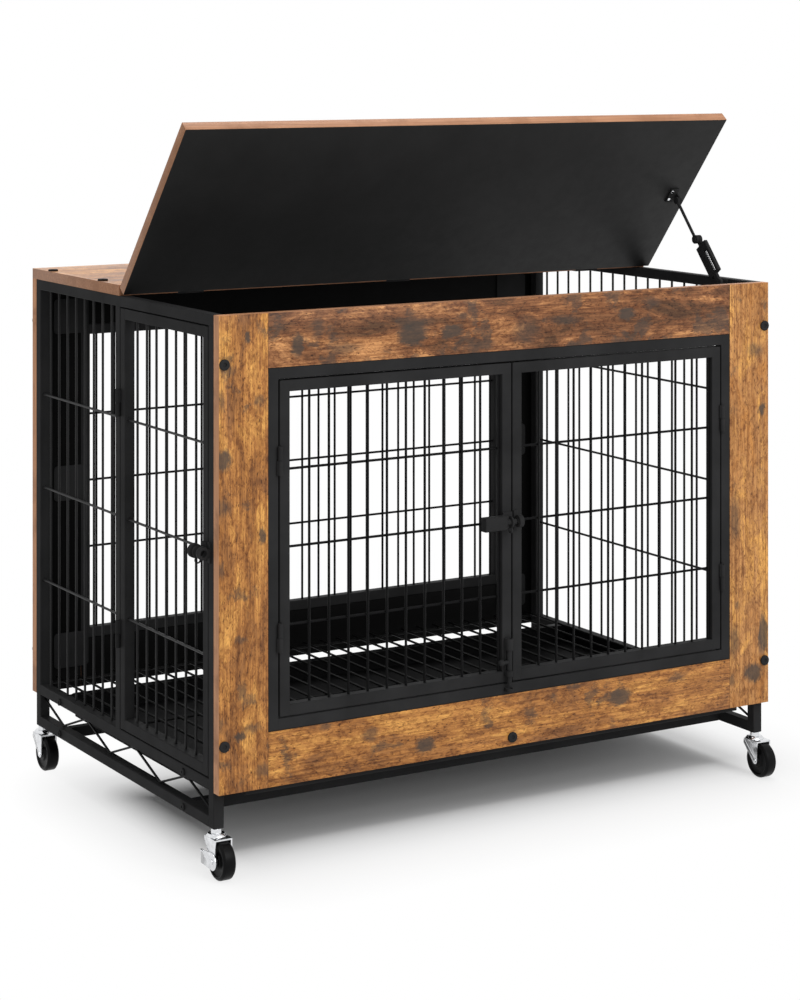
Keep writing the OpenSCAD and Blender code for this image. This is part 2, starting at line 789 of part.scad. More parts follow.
// Half of a barrel hinge standing at the origin over a gap, with a foot that reaches back
// to the tube face and sideways onto it
module barrel(z0, z1, foot_side, pin, bore, gap) {
    foot = [gap / 2 + 3, hinge_out, z1 - z0];
    difference() {
        union() {
            translate([0, 0, z0]) cylinder(h = z1 - z0, r = hinge_r);
            translate([foot_side > 0 ? gap / 2 + touch : -foot[0], 0, z0])
                cube([foot[0] - gap / 2 - touch, foot[1], foot[2]]);
            if (pin > 0)
                translate([0, 0, z0]) cylinder(h = z1 - z0 + pin, r = hinge_pin_r);
        }
        if (bore > 0)
            translate([0, 0, z0 - past]) cylinder(h = z1 - z0 + 2 * past, r = bore);
    }
}

module lower_barrel(side, gap) {
    barrel(-hinge_len / 2, -touch, side, hinge_len / 2 + touch - 2, 0, gap);
}

module upper_barrel(side, gap) {
    barrel(touch, hinge_len / 2, side, 0, hinge_pin_r + pin_play, gap);
}

// Children at each hinge of a front leaf: 0 is the left one, 1 the right one
module at_leaf_hinges(i) {
    for (z = leaf_hinge_zs)
        translate([leaf_hinge_x[i], -tube_w - hinge_out, z]) children();
}

module at_side_hinges() {
    for (z = side_hinge_zs)
        translate([-hinge_out, side_hinge_y, z]) rotate([0, 0, -90]) children();
}

module door_hinge_pins() {
    color(black) at_frame() {
        at_leaf_hinges(0) lower_barrel(-1, leaf_edge_gap);
        at_leaf_hinges(1) lower_barrel(1, leaf_edge_gap);
        at_side_hinges() lower_barrel(-1, door_gap);
    }
}

module left_leaf_frame() {
    color(black) at_frame() {
        tube_window(left_leaf_x, leaf_z, -tube_w);
        at_leaf_hinges(0) upper_barrel(1, leaf_edge_gap);
    }
}

module right_leaf_frame() {
    color(black) at_frame() {
        tube_window(right_leaf_x, leaf_z, -tube_w);
        at_leaf_hinges(1) upper_barrel(-1, leaf_edge_gap);
    }
}

module leaf_grille(xs) {
    inside = xs + [tube_w, -tube_w];
    translate([0, -tube_w / 2, 0])
        grille(wire_row(inside[0], inside[1], leaf_first, leaf_pitch), bar_row(leaf_bar_pitch),
            inside, leaf_z + [tube_w, -tube_w]);
}

module left_leaf_grille() {
    color(black) at_frame() leaf_grille(left_leaf_x);
}

module right_leaf_grille() {
    color(black) at_frame() leaf_grille(right_leaf_x);
}

module side_door_frame() {
    color(black) at_frame() {
        on_side(tube_w) tube_window(door_y, door_z, 0);
        at_side_hinges() upper_barrel(1, door_gap);
    }
}

module side_door_grille() {
    inside = door_y + [tube_w, -tube_w];
    color(black) at_frame() on_side(tube_w / 2)
        grille(wire_row(inside[0], inside[1], side_door_first, side_door_pitch),
            bar_row(side_bar_pitch), inside, door_z + [tube_w, -tube_w]);
}

// Slide latch along +X with its door's free edge at the origin: the plate, a web of a given
// start and height, and the housing (children), bored for the bolt from its far end on
module latch_body(start, web, web_h) {
    difference() {
        union() {
            translate([-latch_plate[0], -latch_plate[1], -latch_plate[2] / 2])
                cube([latch_plate[0], latch_plate[1] - touch, latch_plate[2]]);
            translate([web, -latch_out, -web_h / 2])
                cube([latch_web - latch_plate[0] - web, latch_out - touch, web_h]);
            translate([start, -latch_out, 0]) rotate([90, 0, 90]) children();
        }
        bore_x(start + latch_cap, -latch_out, 0, latch_bolt_r + latch_bore_play,
            -start - latch_cap + past);
    }
}

// Bolt with a collar, and under the collar a loop for a finger
module latch_bolt(start) {
    tail = start + latch_cap + 0.5;
    collar_t = latch_ring[1] - latch_ring[0];
    loop_z = latch_loop_wire - latch_ring_r - latch_loop_r;
    translate([0, -latch_out, 0]) {
        bore_x(tail, 0, 0, latch_bolt_r, -tail);
        bore_x(latch_ring[0], 0, 0, latch_ring_r, collar_t);
        difference() {
            bore_x(latch_ring[0], 0, loop_z, latch_loop_r, collar_t);
            bore_x(latch_ring[0] - past, 0, loop_z, latch_loop_r - latch_loop_wire,
                collar_t + 2 * past);
        }
    }
}

module latch_keeper() {
    difference() {
        union() {
            translate([keeper_start, -2, -keeper_plate_h / 2])
                cube([keeper_t, 2 - touch, keeper_plate_h]);
            translate([keeper_start, -latch_out, -keeper_r / 2])
                cube([keeper_t, latch_out - touch, keeper_r]);
            bore_x(keeper_start, -latch_out, 0, keeper_r, keeper_t);
        }
        bore_x(keeper_start - past, -latch_out, 0, latch_bolt_r + keeper_play, keeper_t + 2 * past);
    }
}

module at_front_latch() {
    translate([left_leaf_x[1], -tube_w, mid_z + front_latch_up]) children();
}

module at_side_latch() {
    translate([0, door_y[0], mid_z]) rotate([0, 0, -90]) children();
}

module front_latch_body() {
    half = latch_box / 2;
    edge = half - latch_chamfer * [1, 1];
    color(black) at_frame() at_front_latch()
        latch_body(latch_box_end - front_latch_len, latch_box_end - join, latch_box[1] - 3)
            linear_extrude(front_latch_len)
                polygon([[-edge[0], -half[1]], [edge[0], -half[1]], [half[0], -edge[1]],
                    [half[0], edge[1]], [edge[0], half[1]], [-edge[0], half[1]],
                    [-half[0], edge[1]], [-half[0], -edge[1]]]);
}

module front_latch_bolt() {
    color(black) at_frame() at_front_latch() latch_bolt(latch_box_end - front_latch_len);
}

module front_latch_keeper() {
    color(black) at_frame() at_front_latch() latch_keeper();
}

module side_latch_body() {
    color(black) at_frame() at_side_latch()
        latch_body(latch_barrel_end - side_latch_len, -latch_plate[0], latch_r) rotate_extrude()
            polygon([[0, 0], [latch_r - latch_chamfer, 0], [latch_r, latch_chamfer],
                [latch_r, side_latch_len], [0, side_latch_len]]);
}

module side_latch_bolt() {
    color(black) at_frame() at_side_latch() latch_bolt(latch_barrel_end - side_latch_len);
}

// Ring and web that hold the drop latch's rod, over a height range
module rod_ring(zs) {
    translate([drop_x, -tube_w - drop_out, zs[0]]) cylinder(h = zs[1] - zs[0], r = drop_guide_r);
    translate([drop_x - drop_guide_r, -tube_w - drop_out, zs[0]])
        cube([2 * drop_guide_r, drop_out - touch, zs[1] - zs[0]]);
}

module rod_bore(zs, play) {
    translate([drop_x, -tube_w - drop_out, zs[0] - past])
        cylinder(h = zs[1] - zs[0] + 2 * past, r = drop_r + play);
}

module drop_latch_guide() {
    color(black) at_frame() difference() {
        union() {
            translate([drop_x - drop_guide_r, -tube_w - drop_plate_t, drop_low_guide[0]])
                cube([2 * drop_guide_r, drop_plate_t - touch, drop_top_guide[1] - drop_low_guide[0]]);
            rod_ring(drop_low_guide);
            rod_ring(drop_top_guide);
        }
        rod_bore(drop_low_guide, latch_bore_play);
        rod_bore(drop_top_guide, latch_bore_play);
    }
}

module drop_latch_bolt() {
    color(black) at_frame() translate([drop_x, -tube_w - drop_out, 0]) {
        translate([0, 0, drop_z[0]]) cylinder(h = drop_z[1] - drop_z[0], r = drop_r);
        translate([-drop_knob_len, 0, drop_knob_z]) rotate([90, 0, 90]) rotate_extrude()
            polygon(concat([for (a = [-90 : 15 : 45]) drop_knob_r * [cos(a), sin(a)]],
                [[drop_stem_r, sqrt(drop_knob_r ^ 2 - drop_stem_r ^ 2)],
                    [drop_stem_r, drop_knob_len], [0, drop_knob_len]]));
    }
}

// The keepers that don't move: the side latch's on the post, the drop latch's on the surround
module fixed_keepers() {
    color(black) at_frame() {
        at_side_latch() latch_keeper();
        difference() {
            rod_ring(drop_keeper_z);
            rod_bore(drop_keeper_z, keeper_play);
        }
    }
}

// Wire floor: wires across on top of wires along
module floor_grid() {
    low = grid_z + wire_d / 2;
    high = low + wire_d - weld_lap;
    span = grid_y[1] - grid_y[0] - 2 * grid_bar_in;
    color(black) at_frame() {
        for (x = wire_row(grid_x[0], grid_x[1], (crate_w / 2 - grid_x[0]) % floor_pitch, floor_pitch))
            wire([x, grid_y[0], high], [-90, 0, 0], grid_y[1] - grid_y[0]);
        for (i = [0 : floor_bars - 1])
            wire([grid_x[0], grid_y[0] + grid_bar_in + span * i / (floor_bars - 1), low],
                [0, 90, 0], grid_x[1] - grid_x[0]);
    }
}

module rounded_plate(low, high, r, h) {
    size = high - low;
    translate([low[0], low[1], 0]) linear_extrude(h) {
        translate([r, 0]) square([size[0] - 2 * r, size[1]]);
        translate([0, r]) square([size[0], size[1] - 2 * r]);
        for (x = [r, size[0] - r])
            for (y = [r, size[1] - r])
                translate([x, y]) circle(r);
    }
}

module tray() {
    low = [tray_x[0], tray_y[0]];
    high = [tray_x[1], tray_y[1]];
    rim = [0, tray_rim + tray_side];
    inset = [tray_wall, tray_wall];
    color("#232325") at_frame() difference() {
        union() {
            translate([0, 0, tray_z + tray_wall - tray_depth])
                rounded_plate(low, high, tray_corner, tray_depth);
            translate([0, 0, tray_z]) rounded_plate(low - rim, high + rim, tray_corner, tray_wall);
        }
        translate([0, 0, tray_z + 2 * tray_wall - tray_depth])
            rounded_plate(low + inset, high - inset, tray_corner - tray_wall, tray_depth);
    }
}

// Bolt along +Z with its head below the origin
module bolt(len, r, head_r) {
    difference() {
        union() {
            cylinder(h = len, r = r);
            translate([0, 0, -bolt_head_h]) cylinder(h = bolt_head_h, r = head_r);
        }
        translate([0, 0, -bolt_head_h - past]) cylinder(h = past + 1.5, r = head_r / 2.4, $fn = 6);
    }
}

module panel_bolts() {
    reach = board_t + tube_wall + 1;
    color(black) at_frame() {
        for (x = leg_xs) {
            for (z = [bolt_low, panel_h - bolt_high]) {
                translate([x, -board_t, z]) rotate([-90, 0, 0]) bolt(reach, bolt_r, bolt_head_r);
                translate([x, frame_d + board_t, z]) rotate([90, 0, 0])
                    bolt(reach, bolt_r, bolt_head_r);
            }
            for (y = strip_bolt_ys())
                translate([x, y, panel_h + board_t]) rotate([180, 0, 0])
                    bolt(reach, bolt_r, bolt_head_r);
        }
        translate([crate_w / 2, -board_t, bolt_mid]) rotate([-90, 0, 0])
            bolt(board_t + lug[1] + 1, bolt_r, bolt_head_r);
    }
}

// Children at each end of the bearers and crossbars, with +X pointing inwards
module at_bar_ends() {
    for (y = bearer_ys)
        for (z = [bearer_z, crossbar_z]) {
            translate([0, y, z]) children();
            translate([crate_w, y, z]) mirror([1, 0, 0]) children();
        }
}

module frame_bolts() {
    color(black) at_frame() at_bar_ends() rotate([0, 90, 0])
        bolt(frame_bolt_len, frame_bolt_r, frame_head_r);
}

module tube_nuts() {
    w = tube_in - 2 * touch;
    color(zinc) at_frame() at_bar_ends() difference() {
        translate([tube_w + weld_gap, -w / 2, -w / 2]) cube([nut_len, w, w]);
        bore_x(tube_w - past, 0, 0, frame_bolt_r + pin_play, nut_len + 2 * past);
    }
}

module joining_plates() {
    xs = [stile_w + plate_lap - plate_w, crate_w - stile_w - plate_lap];
    edge = board_h + plate_lap;
    zs = [edge - plate_h, mid_z - plate_h / 2, panel_h - edge];
    color(black) at_frame() for (x = xs)
        for (z = zs)
            for (y = [touch, frame_d - touch - plate_t])
                translate([x, y + plate_t, z]) rotate([90, 0, 0])
                    rounded_plate([0, 0], [plate_w, plate_h], plate_corner, plate_t);
}

module leg_inserts() {
    w = tube_in - 2 * touch;
    color("#2a2a2c") at_frame() for (x = leg_xs)
        for (y = leg_ys)
            translate([x, y, -leg_drop]) difference() {
                translate([-w / 2, -w / 2, 0]) cube([w, w, insert_len]);
                translate([0, 0, -past]) cylinder(h = insert_len + 2 * past, r = stem_r + pin_play);
            }
}

// Children on the floor under each leg
module at_casters(ix, iy) {
    translate([leg_xs[ix] - crate_w / 2, front_y + leg_ys[iy], 0]) children();
}

// Everything of a caster that doesn't turn: stem, nut, ball race and rivet
module caster_stem() {
    neck_z = fork_top_z + fork_t + touch;
    translate([0, 0, fork_top_z - head_h - touch]) cylinder(h = head_h, r = rivet_r);
    translate([0, 0, fork_top_z - touch - join]) cylinder(h = fork_t + 3 * touch, r = stem_r);
    translate([0, 0, neck_z]) cylinder(h = race_h, r1 = race_r, r2 = race_r - 3);
    translate([0, 0, neck_z + race_h - join])
        cylinder(h = caster_h - touch - neck_z - race_h + join, r = nut_af / 2 / cos(30), $fn = 6);
    translate([0, 0, neck_z]) cylinder(h = caster_h + stem_in - neck_z, r = stem_r);
}

module caster_stems() {
    color(zinc) for (ix = [0, 1])
        for (iy = [0, 1])
            at_casters(ix, iy) caster_stem();
}

// Outline of a fork cheek in the Y-Z plane
module cheek_outline() {
    top = fork_top_z + fork_t;
    translate([-caster_trail, wheel_r]) circle(r = fork_axle_r);
    polygon([[-caster_trail - fork_axle_r, wheel_r], [-caster_trail - fork_axle_r, top], [9, top],
        [10, top - 7], [-caster_trail + fork_axle_r * cos(30), wheel_r - fork_axle_r * sin(30)]]);
}

module fork(axle_out) {
    difference() {
        union() {
            for (x = [-cheek_gap / 2 - fork_t, cheek_gap / 2])
                translate([x, 0, 0]) rotate([90, 0, 90]) linear_extrude(fork_t) cheek_outline();
            translate([0, 0, fork_top_z]) cylinder(h = fork_t, r = fork_disc_r);
            translate([-cheek_gap / 2 - fork_t, -caster_trail - fork_axle_r, fork_top_z])
                cube([cheek_gap + 2 * fork_t, caster_trail + fork_axle_r + 9, fork_t]);
            bore_x(-cheek_gap / 2 - fork_t - axle_out, -caster_trail, wheel_r, axle_r,
                cheek_gap + 2 * fork_t + axle_out + plain_axle);
        }
        translate([0, 0, fork_top_z - past]) cylinder(h = fork_t + 2 * past, r = stem_r + pin_play);
    }
}

// Wheel about its axle: a crowned tread with a dished hub
module wheel() {
    crown = 2.5;
    half = wheel_w / 2;
    translate([0, -caster_trail, wheel_r]) rotate([0, 90, 0]) rotate_extrude()
        polygon([[axle_r + wheel_play, -half], [wheel_hub_r, -half], [wheel_hub_r + 1.5, -half + 2],
            [wheel_r - 6, -half + 2], [wheel_r - 5, -half], [wheel_r - crown, -half],
            [wheel_r, -half + crown], [wheel_r, half - crown], [wheel_r - crown, half],
            [wheel_r - 5, half], [wheel_r - 6, half - 2], [wheel_hub_r + 1.5, half - 2],
            [wheel_hub_r, half], [axle_r + wheel_play, half]]);
}

module brake_outline() {
    circle(r = brake_eye_r);
    polygon([[0, brake_eye_r], [brake_reach, brake_end_h / 2], [brake_reach, -brake_end_h / 2],
        [0, -brake_eye_r]]);
}

// Lever that turns on the axle's left end, with a foot tab behind the wheel
module brake() {
    outer = cheek_gap / 2 + fork_t + brake_gap;
    translate([0, -caster_trail, wheel_r]) difference() {
        union() {
            translate([-outer - fork_t, 0, 0]) rotate([90, 0, 90]) linear_extrude(fork_t)
                brake_outline();
            translate([-outer - brake_tab, brake_reach - 9, brake_end_h / 2 - fork_t])
                cube([brake_tab, 9, fork_t]);
        }
        bore_x(-outer - fork_t - past, 0, 0, axle_r + pin_play, fork_t + 2 * past);
    }
}

module front_left_fork() {
    color(zinc) at_casters(0, 0) fork(braked_axle);
}

module front_right_fork() {
    color(zinc) at_casters(1, 0) fork(plain_axle);
}

module back_left_fork() {
    color(zinc) at_casters(0, 1) fork(plain_axle);
}

module back_right_fork() {
    color(zinc) at_casters(1, 1) fork(braked_axle);
}

module front_left_wheel() {
    color(black) at_casters(0, 0) wheel();
}

module front_right_wheel() {
    color(black) at_casters(1, 0) wheel();
}

module back_left_wheel() {
    color(black) at_casters(0, 1) wheel();
}

module back_right_wheel() {
    color(black) at_casters(1, 1) wheel();
}

module front_left_brake() {
    color(zinc) at_casters(0, 0) brake();
}

module back_right_brake() {
    color(zinc) at_casters(1, 1) brake();
}

left_side_frame();
right_side_frame();
left_rear_grille();
right_grille();
truss_wires();
cross_rails();
front_left_stile();
front_right_stile();
front_top_board();
front_bottom_board();
back_left_stile();
back_right_stile();
back_top_board();
back_bottom_board();
front_surround();
back_surround();
back_grille();
top_strip();
lid();
floor_grid();
tray();
panel_bolts();
frame_bolts();
tube_nuts();
joining_plates();
strip_hinge_leaves();
lid_hinge_leaves();
stay_foot();
stay_housing();
stay_spring();
stay_arm();
stay_head();
left_leaf_frame();
left_leaf_grille();
right_leaf_frame();
right_leaf_grille();
side_door_frame();
side_door_grille();
door_hinge_pins();
front_latch_body();
front_latch_bolt();
front_latch_keeper();
drop_latch_guide();
drop_latch_bolt();
fixed_keepers();
side_latch_body();
side_latch_bolt();
leg_inserts();
caster_stems();
front_left_fork();
front_right_fork();
back_left_fork();
back_right_fork();
front_left_wheel();
front_right_wheel();
back_left_wheel();
back_right_wheel();
front_left_brake();
back_right_brake();
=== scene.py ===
"""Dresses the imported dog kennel: steel tube, round wire, laminated boards, hardware and casters.

Lengths in the tables are millimetres in the crate's own place: X from its left end, Y from the back
face of the front panel, Z from the panels' lower edge. The helper spot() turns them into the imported
frame.
"""

import json
import math

import bpy
from mathutils import Euler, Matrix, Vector


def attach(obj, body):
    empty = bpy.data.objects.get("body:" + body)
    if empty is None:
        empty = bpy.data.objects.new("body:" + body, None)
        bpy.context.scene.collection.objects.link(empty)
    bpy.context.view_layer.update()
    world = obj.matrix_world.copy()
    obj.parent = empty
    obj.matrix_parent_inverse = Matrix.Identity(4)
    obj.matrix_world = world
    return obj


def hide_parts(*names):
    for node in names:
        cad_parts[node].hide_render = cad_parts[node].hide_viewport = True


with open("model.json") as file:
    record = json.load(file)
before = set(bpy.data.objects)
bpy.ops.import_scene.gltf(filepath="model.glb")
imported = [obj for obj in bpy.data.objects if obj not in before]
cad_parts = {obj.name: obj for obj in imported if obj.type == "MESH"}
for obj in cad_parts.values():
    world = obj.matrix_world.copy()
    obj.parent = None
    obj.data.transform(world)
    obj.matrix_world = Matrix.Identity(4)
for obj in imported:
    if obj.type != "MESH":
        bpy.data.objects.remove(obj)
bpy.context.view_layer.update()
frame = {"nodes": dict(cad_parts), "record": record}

MM = 0.001
X, Y, Z = 0, 1, 2

# The crate, in millimetres: width, depth between the panels, height, legs, tubes and wires
CRATE_W = 900
FRAME_D = 585
PANEL_H = 615
LEG_DROP = 47.5
TUBE = 15
MID_TUBE = TUBE / 2
WIRE = 3.5
# What turns the crate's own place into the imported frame, with X from the middle
FRONT_Y = -284.5
PANEL_Z = 110


def spot(x, y, z):
    """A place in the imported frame, in metres."""
    return Vector((x - CRATE_W / 2, y + FRONT_Y, z + PANEL_Z)) * MM


def only(*objs):
    """Selects these objects and nothing else; the last one is active."""
    bpy.ops.object.select_all(action="DESELECT")
    for obj in objs:
        obj.select_set(True)
    bpy.context.view_layer.objects.active = objs[-1]


def settle(obj):
    """Puts an object's place, turn and size into its mesh."""
    only(obj)
    bpy.ops.object.transform_apply(location=True, rotation=True, scale=True)
    return obj


def smooth(obj, angle=35):
    """Shades an object smooth, apart from edges sharper than an angle in degrees."""
    only(obj)
    bpy.ops.object.shade_smooth_by_angle(angle=math.radians(angle))
    return obj


def modify(obj, kind, **settings):
    """Adds a modifier, sets it and applies it."""
    only(obj)
    mod = obj.modifiers.new(kind.lower(), kind)
    for key, value in settings.items():
        setattr(mod, key, value)
    bpy.ops.object.modifier_apply(modifier=mod.name)
    return obj


def merged(name, objs):
    """Joins objects into one piece under a name."""
    only(*objs)
    if len(objs) > 1:
        bpy.ops.object.join()
    obj = bpy.context.view_layer.objects.active
    obj.name = name
    obj.data.name = name
    return obj


def enter(obj):
    """Goes to edit mode on one object."""
    only(obj)
    bpy.ops.object.mode_set(mode="EDIT")


def leave():
    """Goes back to object mode."""
    bpy.ops.object.mode_set(mode="OBJECT")


def block(name, low, high, material, bevel=0.0):
    """A box between two corners, in metres, with its edges rounded."""
    low, high = Vector(low), Vector(high)
    bpy.ops.object.select_all(action="DESELECT")
    bpy.ops.mesh.primitive_cube_add(size=1, location=(low + high) / 2)
    obj = bpy.context.view_layer.objects.active
    obj.name = name
    obj.scale = high - low
    settle(obj)
    if bevel:
        modify(obj, "BEVEL", width=bevel, segments=2, limit_method="ANGLE")
    obj.data.materials.append(material)
    return smooth(obj)


def rod(name, start, end, radius, material, sides=12, bevel=0.0):
    """A round bar between two places, with its rims rounded."""
    start, end = Vector(start), Vector(end)
    run = end - start
    bpy.ops.object.select_all(action="DESELECT")
    bpy.ops.mesh.primitive_cylinder_add(
        vertices=sides, radius=radius, depth=run.length, location=(start + end) / 2,
        rotation=run.to_track_quat("Z", "Y").to_euler())
    obj = bpy.context.view_layer.objects.active
    obj.name = name
    settle(obj)
    if bevel:
        modify(obj, "BEVEL", width=bevel, segments=2, limit_method="ANGLE",
               angle_limit=math.radians(50))
    obj.data.materials.append(material)
    return smooth(obj)


# Materials

def shader(name):
    """A new material with its nodes, its links and its main shader."""
    material = bpy.data.materials.new(name)
    material.use_nodes = True
    nodes, links = material.node_tree.nodes, material.node_tree.links
    return material, nodes, links, nodes["Principled BSDF"]


def coords(nodes, links, scale=(1, 1, 1), place=(0, 0, 0)):
    """Object coordinates through a mapping of a given scale."""
    source = nodes.new("ShaderNodeTexCoord")
    mapping = nodes.new("ShaderNodeMapping")
    mapping.inputs["Scale"].default_value = scale
    mapping.inputs["Location"].default_value = place
    links.new(source.outputs["Object"], mapping.inputs["Vector"])
    return mapping.outputs["Vector"]


def noise(nodes, links, vector, detail, rough=0.5, bend=0.0, scale=1.0, output="Fac"):
    """A Noise Texture node's value, or its colour."""
    node = nodes.new("ShaderNodeTexNoise")
    node.inputs["Scale"].default_value = scale
    node.inputs["Detail"].default_value = detail
    node.inputs["Roughness"].default_value = rough
    node.inputs["Distortion"].default_value = bend
    links.new(vector, node.inputs["Vector"])
    return node.outputs[output]


def arithmetic(nodes, links, operation, one, two):
    """A Math node of two values or sockets."""
    node = nodes.new("ShaderNodeMath")
    node.operation = operation
    for socket, value in zip(node.inputs, (one, two)):
        if isinstance(value, bpy.types.NodeSocket):
            links.new(value, socket)
        else:
            socket.default_value = value
    return node.outputs[0]


def shifted(nodes, links, vector, cloud, amount):
    """Coordinates pushed about by a noise's colour, so that what is drawn on them gets ragged edges."""
    centred = nodes.new("ShaderNodeVectorMath")
    centred.operation = "SUBTRACT"
    links.new(cloud, centred.inputs[0])
    centred.inputs[1].default_value = (0.5, 0.5, 0.5)
    pushed = nodes.new("ShaderNodeVectorMath")
    pushed.operation = "MULTIPLY_ADD"
    links.new(centred.outputs[0], pushed.inputs[0])
    pushed.inputs[1].default_value = (amount, amount, amount)
    links.new(vector, pushed.inputs[2])
    return pushed.outputs[0]


def ovals(nodes, links, vector, places):
    """Distance to the nearest of some ovals, 1 at an oval's rim. Each is a centre and half sizes."""
    nearest = None
    for centre, half in places:
        mapping = nodes.new("ShaderNodeMapping")
        mapping.inputs["Scale"].default_value = [1 / h for h in half]
        mapping.inputs["Location"].default_value = [-c / h for c, h in zip(centre, half)]
        links.new(vector, mapping.inputs["Vector"])
        reach = nodes.new("ShaderNodeVectorMath")
        reach.operation = "LENGTH"
        links.new(mapping.outputs["Vector"], reach.inputs[0])
        here = reach.outputs["Value"]
        nearest = here if nearest is None else arithmetic(nodes, links, "MINIMUM", nearest, here)
    return nearest


def beyond(nodes, links, vector, centre, half, fade):
    """How far a place lies outside a box: 0 in it, 1 where the fade ends."""
    for operation, other in (("SUBTRACT", centre), ("ABSOLUTE", (0, 0, 0)), ("SUBTRACT", half),
                             ("MAXIMUM", (0, 0, 0)), ("DIVIDE", fade), ("LENGTH", (0, 0, 0))):
        node = nodes.new("ShaderNodeVectorMath")
        node.operation = operation
        links.new(vector, node.inputs[0])
        node.inputs[1].default_value = other
        vector = node.outputs[0]
    return node.outputs["Value"]


def ramp(nodes, links, value, stops):
    """A colour ramp: stops are (place, colour)."""
    node = nodes.new("ShaderNodeValToRGB")
    band = node.color_ramp
    while len(band.elements) < len(stops):
        band.elements.new(0.5)
    for element, (place, colour) in zip(band.elements, stops):
        element.position = place
        element.color = (*colour, 1)
    links.new(value, node.inputs["Fac"])
    return node.outputs["Color"]


def grey(value):
    """A colour with three equal parts."""
    return (value, value, value)


def mix(nodes, links, factor, one, two, mode="MIX"):
    """A Mix node of two colours; each of the three can be a value or a socket."""
    node = nodes.new("ShaderNodeMix")
    node.data_type = "RGBA"
    node.blend_type = mode
    for socket, value in ((node.inputs[0], factor), (node.inputs[6], one), (node.inputs[7], two)):
        if isinstance(value, bpy.types.NodeSocket):
            links.new(value, socket)
        elif isinstance(value, tuple):
            socket.default_value = (*value, 1)
        else:
            socket.default_value = value
    return node.outputs[2]


def bump(nodes, links, main, height, strength, distance):
    """Gives a shader fine relief from a height."""
    node = nodes.new("ShaderNodeBump")
    node.inputs["Strength"].default_value = strength
    node.inputs["Distance"].default_value = distance
    links.new(height, node.inputs["Height"])
    links.new(node.outputs["Normal"], main.inputs["Normal"])


GOLDEN = (0.810, 0.410, 0.105)
ORANGE = (0.540, 0.235, 0.062)
BROWN = (0.270, 0.115, 0.040)
CHARRED = (0.052, 0.042, 0.034)
# How much of the wood shows through a burnt patch or stain, and through a knot
SMOKE_SHOWS = 0.28
SOOT_SHOWS = 0.08
# How far ragged rims stray, in metres
RAGGED = 0.022


def laminate(name, along, tones, knots=(), stains=(), burnt=0.5, shine=0.22):
    """Rustic brown laminate along one axis: tones from dark to light, knots and stains at places in
    millimetres (x, z, half width, half height), and a share of burnt patches."""
    material, nodes, links, main = shader(name)

    def stretched(length, width, shift):
        """Coordinates with so many features per metre along the wood and across it."""
        scale = [width, width, width]
        scale[along] = length
        return coords(nodes, links, scale, (shift, shift * 0.7, shift * 1.3))

    def darkened(colour, value, low, high, dark):
        """A colour with a dark tone where a value is low."""
        shade = ramp(nodes, links, value, [(low, dark), (high, grey(1))])
        return mix(nodes, links, 1.0, colour, shade, "MULTIPLY")

    main.inputs["Specular IOR Level"].default_value = shine
    grain = noise(nodes, links, stretched(11, 480, 0.3), detail=6, rough=0.72, bend=0.3)
    broad = noise(nodes, links, stretched(7, 24, 2.1), detail=7, rough=0.74, bend=0.6)
    wood = ramp(nodes, links, broad, [(0.38, tones[0]), (0.50, tones[1]), (0.61, tones[2])])
    wood = darkened(wood, grain, 0.34, 0.58, (0.46, 0.38, 0.34))
    bark = noise(nodes, links, stretched(90, 170, 7.7), detail=7, rough=0.7, bend=0.8)
    wood = darkened(wood, bark, 0.36, 0.54, (0.48, 0.40, 0.36))
    ticks = noise(nodes, links, stretched(170, 700, 1.9), detail=2)
    wood = darkened(wood, ticks, 0.31, 0.38, (0.26, 0.21, 0.18))
    cloud = noise(nodes, links, stretched(60, 150, 4.4), detail=5, rough=0.7, output="Color")
    ragged = shifted(nodes, links, coords(nodes, links), cloud, RAGGED)
    patch = noise(nodes, links, ragged, detail=6, rough=0.62, bend=0.4, scale=21)
    spread = 0.12 * burnt
    scorch = ramp(nodes, links, patch, [(0.64 - spread, grey(0)), (0.70 - spread, grey(0.85))])
    smoke = mix(nodes, links, SMOKE_SHOWS, CHARRED, wood)
    soot = mix(nodes, links, SOOT_SHOWS, CHARRED, wood)
    wood = mix(nodes, links, scorch, wood, smoke)
    for places, core, depth, dark in ((stains, 0.40, 0.80, smoke), (knots, 0.62, 0.92, soot)):
        if places:
            spots = [(spot(*place), [h * MM for h in half]) for place, half in places]
            reach = ovals(nodes, links, ragged, spots)
            inside = ramp(nodes, links, reach, [(core, grey(depth)), (1.0, grey(0))])
            wood = mix(nodes, links, inside, wood, dark)
    links.new(wood, main.inputs["Base Color"])
    links.new(ramp(nodes, links, bark, [(0.3, grey(0.46)), (0.7, grey(0.34))]),
              main.inputs["Roughness"])
    bump(nodes, links, main, mix(nodes, links, 0.5, grain, ticks), 0.20, 0.0006)
    return material


BAND_WORN = (0.260, 0.115, 0.052)


def edge_band(name, along, dark, light):
    """Pinkish brown edge strip with a fine grain between two tones."""
    material, nodes, links, main = shader(name)
    scale = [420.0, 420.0, 420.0]
    scale[along] = 12.0
    streak = noise(nodes, links, coords(nodes, links, scale), detail=5, rough=0.6, bend=0.2)
    patch = noise(nodes, links, coords(nodes, links, (16, 16, 16)), detail=6, rough=0.6, bend=0.3)
    wood = ramp(nodes, links, streak, [(0.30, dark), (0.70, light)])
    worn = ramp(nodes, links, patch, [(0.48, grey(0)), (0.62, grey(0.7))])
    links.new(mix(nodes, links, worn, wood, BAND_WORN), main.inputs["Base Color"])
    main.inputs["Roughness"].default_value = 0.5
    main.inputs["Specular IOR Level"].default_value = 0.25
    bump(nodes, links, main, streak, 0.12, 0.0004)
    return material


